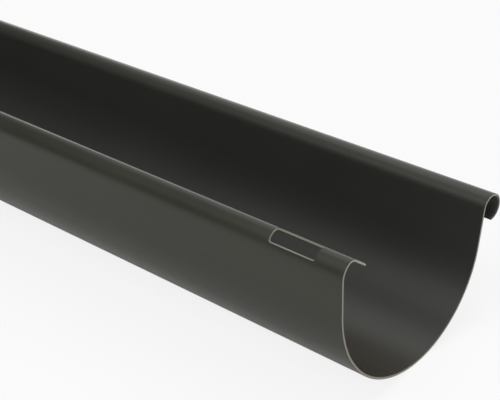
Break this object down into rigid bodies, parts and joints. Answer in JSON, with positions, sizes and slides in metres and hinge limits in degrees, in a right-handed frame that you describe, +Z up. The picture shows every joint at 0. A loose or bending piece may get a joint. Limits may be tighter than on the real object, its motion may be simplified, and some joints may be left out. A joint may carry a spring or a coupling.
{
  "type": "gutter section",
  "caption": "Half-round eaves gutter in dark plastic, with a hooked rear lip slotted near each end and a rolled open bead along the front.",
  "frame": {"origin": "middle of the length, on the floor, halfway between the rear lip's side and the front bead", "axes": "+X along the length; +Y across, from the rear lip to the front bead; +Z up, as the length lies at rest on a level floor, rolled about 10 degrees towards the bead"},
  "size_m": [1, 0.141, 0.0958],
  "materials": {
    "anthracite_plastic": "satin, smooth co-extruded skin; paler grey-beige core at the sawn ends and slot edges"
  },
  "bodies": {
    "root": {"gutter": "anthracite_plastic"}
  },
  "joints": []
}
